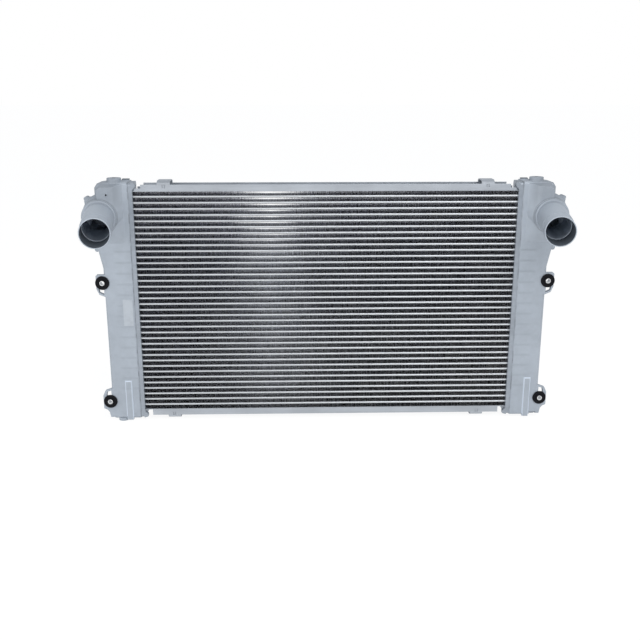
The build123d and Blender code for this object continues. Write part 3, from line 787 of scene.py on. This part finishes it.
def bead_path(low, high, corner, step):
    """Points (y, z) along a rounded rectangle, a step apart."""
    bends = [(high.y, high.z, 0), (low.y, high.z, 1), (low.y, low.z, 2), (high.y, low.z, 3)]
    corners = []
    for y, z, turn in bends:
        centre_y = y - corner if turn in (0, 3) else y + corner
        centre_z = z - corner if turn < 2 else z + corner
        for n in range(BEAD_TURN_STEPS + 1):
            angle = (turn + n / BEAD_TURN_STEPS) * math.pi / 2
            corner_y = centre_y + corner * math.cos(angle)
            corner_z = centre_z + corner * math.sin(angle)
            corners.append((corner_y, corner_z))
    points = []
    for start, end in zip(corners, corners[1:] + corners[:1]):
        count = max(1, round(math.dist(start, end) / step))
        for n in range(count):
            share = n / count
            points.append(tuple(a + (b - a) * share for a, b in zip(start, end)))
    return points


def bead_ring(built, centre, out, radius):
    """One ring of the bead's points, flat towards the seam and wide along it."""
    ring = []
    for k in range(BEAD_SIDES):
        angle = 2 * math.pi * k / BEAD_SIDES
        place = centre + out * math.sin(angle) * radius * BEAD_RISE
        place.x += math.cos(angle) * radius * BEAD_SPREAD
        ring.append(built.verts.new(place))
    return ring


def bead_mesh(name, path, seam_x, radius, rand):
    """A closed bead along a path of (y, z) points, swollen at every ripple."""
    built = bmesh.new()
    rings = []
    for n, (y, z) in enumerate(path):
        before = path[n - 1]
        after = path[(n + 1) % len(path)]
        run = Vector((0, after[0] - before[0], after[1] - before[1])).normalized()
        out = Vector((0, run.z, -run.y))
        ripple = RIPPLE_SWELL * abs(math.sin(math.pi * n / RIPPLE_STEPS))
        swell = 1 + ripple + rand.uniform(-RIPPLE_STRAY, RIPPLE_STRAY)
        rings.append(bead_ring(built, Vector((seam_x, y, z)), out, radius * swell))
    for n, ring in enumerate(rings):
        other = rings[(n + 1) % len(rings)]
        for k in range(BEAD_SIDES):
            near = (k + 1) % BEAD_SIDES
            built.faces.new((ring[k], ring[near], other[near], other[k]))
    bmesh.ops.recalc_face_normals(built, faces=built.faces)
    bead = bpy.data.meshes.new(name)
    built.to_mesh(bead)
    built.free()
    bead.shade_smooth()
    return bead


class COOLER_OT_weld_beads(bpy.types.Operator):
    """Lays a rippled weld bead along the seam between each tank and its header plate"""

    bl_idname = "cooler.weld_beads"
    bl_label = "Weld beads"

    def execute(self, context):
        look = context.scene.cooler_casting
        material = bead_finish(look)
        rand = random.Random(look.bead_seed)
        for side in SIDES:
            low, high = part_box(f"header_plate_{side}")
            seam_x = high.x if side == "right" else low.x
            path = bead_path(low, high, BEAD_CORNER_R, look.ripple / RIPPLE_STEPS)
            bead = bead_mesh(f"weld_bead_{side}", path, seam_x, look.bead, rand)
            new_piece(f"weld_bead_{side}", bead, material)
        return {"FINISHED"}


class COOLER_OT_fittings(bpy.types.Operator):
    """Finishes the bushes, their sleeves and the blank label"""

    bl_idname = "cooler.fittings"
    bl_label = "Bushes and label"

    def execute(self, context):
        look = context.scene.cooler_fitting
        rubber = rubber_finish(look)
        steel = steel_finish(look)
        for end in ENDS:
            for side in SIDES:
                dress(f"bush_{end}_{side}", rubber)
                dress(f"sleeve_{end}_{side}", steel)
        dress("label", paper_finish(look))
        return {"FINISHED"}


def floor_finish():
    """A pale floor that shows white to the camera and keeps the cooler's shadow."""
    finish = Finish("studio_floor")
    colour = finish.blend(finish.noise(scale=1.5, detail=2), *FLOOR_TONES)
    floor = finish.node("BsdfDiffuse", inputs={"Color": colour})
    glow = finish.node("Emission", inputs={"Color": WHITE, "Strength": FLOOR_GLOW})
    seen = finish.node("LightPath", out="Is Camera Ray")
    shine = finish.node("LightPath", out="Is Glossy Ray")
    clear = finish.node("LightPath", out="Is Transmission Ray")
    share = (seen + shine + clear).least(1) * FLOOR_GLOW_SHARE
    shader = finish.node("MixShader", inputs={0: share, 1: floor, 2: glow})
    return finish.end("OutputMaterial", shader)


def sky_finish(level):
    """An even pale sky that the camera sees as white."""
    finish = Finish("studio_sky", bpy.data.worlds.new("studio_sky"))
    even = finish.node("Background", inputs={"Color": SKY_COLOUR, "Strength": level})
    white = finish.node("Background", inputs={"Color": WHITE, "Strength": 1.0})
    seen = finish.node("LightPath", out="Is Camera Ray")
    clear = finish.node("LightPath", out="Is Transmission Ray")
    shader = finish.node("MixShader", inputs={0: seen.most(clear), 1: even, 2: white})
    return finish.end("OutputWorld", shader)


def studio_floor(level_z):
    """A wide flat floor at a height."""
    reach = FLOOR_REACH
    corners = [(-reach, -reach), (reach, -reach), (reach, reach), (-reach, reach)]
    floor_mesh = bpy.data.meshes.new("studio_floor")
    floor_mesh.from_pydata([(x, y, level_z) for x, y in corners], [], [(0, 1, 2, 3)])
    floor_mesh.materials.append(floor_finish())
    floor = bpy.data.objects.new("studio_floor", floor_mesh)
    bpy.context.scene.collection.objects.link(floor)
    return floor


def area_lamp(name, place, power):
    """A soft square lamp aimed at the cooler."""
    lamp = bpy.data.lights.new(name, "AREA")
    lamp.shape = "SQUARE"
    lamp.size = LAMP_SIZE
    lamp.energy = power
    holder = bpy.data.objects.new(name, lamp)
    holder.location = place
    aim = Vector(LAMP_TARGET) - Vector(place)
    holder.rotation_euler = aim.to_track_quat("-Z", "Y").to_euler()
    bpy.context.scene.collection.objects.link(holder)


def studio_camera(look):
    """The camera that sees the cooler as the photograph does."""
    camera = bpy.data.objects.new("camera", bpy.data.cameras.new("camera"))
    camera.data.sensor_width = SENSOR_WIDTH_MM
    camera.data.lens = look.lens
    camera.data.shift_x, camera.data.shift_y = LENS_SHIFT
    camera.data.clip_end = CLIP_END
    turn = Matrix((CAMERA_RIGHT, -CAMERA_DOWN, -CAMERA_AHEAD)).transposed()
    camera.matrix_world = Matrix.Translation(look.eye) @ turn.to_4x4()
    bpy.context.scene.collection.objects.link(camera)
    return camera


class COOLER_OT_studio(bpy.types.Operator):
    """Sets the floor, the light and the camera"""

    bl_idname = "cooler.studio"
    bl_label = "Studio"

    def execute(self, context):
        scene = context.scene
        look = scene.cooler_studio
        floor = studio_floor(CAD_BOX[0].z)
        scene.world = sky_finish(look.level)
        area_lamp("key_lamp", KEY_PLACE, look.key)
        area_lamp("fill_lamp", FILL_PLACE, look.fill)
        scene.camera = studio_camera(look)
        scene.view_settings.view_transform = "Standard"
        return {"FINISHED"}


class COOLER_PT_panel(bpy.types.Panel):
    """Lists the cooler's pieces and their looks"""

    bl_idname = "COOLER_PT_panel"
    bl_label = "Charge Air Cooler"
    bl_space_type = "VIEW_3D"
    bl_region_type = "UI"
    bl_category = "Cooler"

    def draw(self, context):
        for group, operators in LISTED:
            box = self.layout.box()
            look = getattr(context.scene, group)
            for name in look.__annotations__:
                box.prop(look, name)
            for operator in operators:
                box.operator(operator)


LISTED = (
    ("cooler_core", ("cooler.tubes", "cooler.fins")),
    ("cooler_sheet", ("cooler.sheets",)),
    ("cooler_casting", ("cooler.tanks", "cooler.weld_beads")),
    ("cooler_fitting", ("cooler.fittings",)),
    ("cooler_studio", ("cooler.studio",)),
)
GROUPS = {
    "cooler_core": CoreLook,
    "cooler_sheet": SheetLook,
    "cooler_casting": CastingLook,
    "cooler_fitting": FittingLook,
    "cooler_studio": StudioLook,
}
OPERATORS = (
    COOLER_OT_tubes,
    COOLER_OT_fins,
    COOLER_OT_sheets,
    COOLER_OT_tanks,
    COOLER_OT_weld_beads,
    COOLER_OT_fittings,
    COOLER_OT_studio,
)


def register():
    """Adds the looks, the operators and the panel."""
    for name, group in GROUPS.items():
        bpy.utils.register_class(group)
        setattr(bpy.types.Scene, name, PointerProperty(type=group))
    for kind in (*OPERATORS, COOLER_PT_panel):
        bpy.utils.register_class(kind)


def unregister():
    """Takes them away again."""
    for kind in reversed((*OPERATORS, COOLER_PT_panel)):
        bpy.utils.unregister_class(kind)
    for name, group in reversed(GROUPS.items()):
        delattr(bpy.types.Scene, name)
        bpy.utils.unregister_class(group)


def main():
    """Builds every piece in order."""
    register()
    bpy.ops.cooler.studio()
    bpy.ops.cooler.tubes()
    bpy.ops.cooler.fins()
    bpy.ops.cooler.sheets()
    bpy.ops.cooler.tanks()
    bpy.ops.cooler.weld_beads()
    bpy.ops.cooler.fittings()


if __name__ == "__main__":
    main()
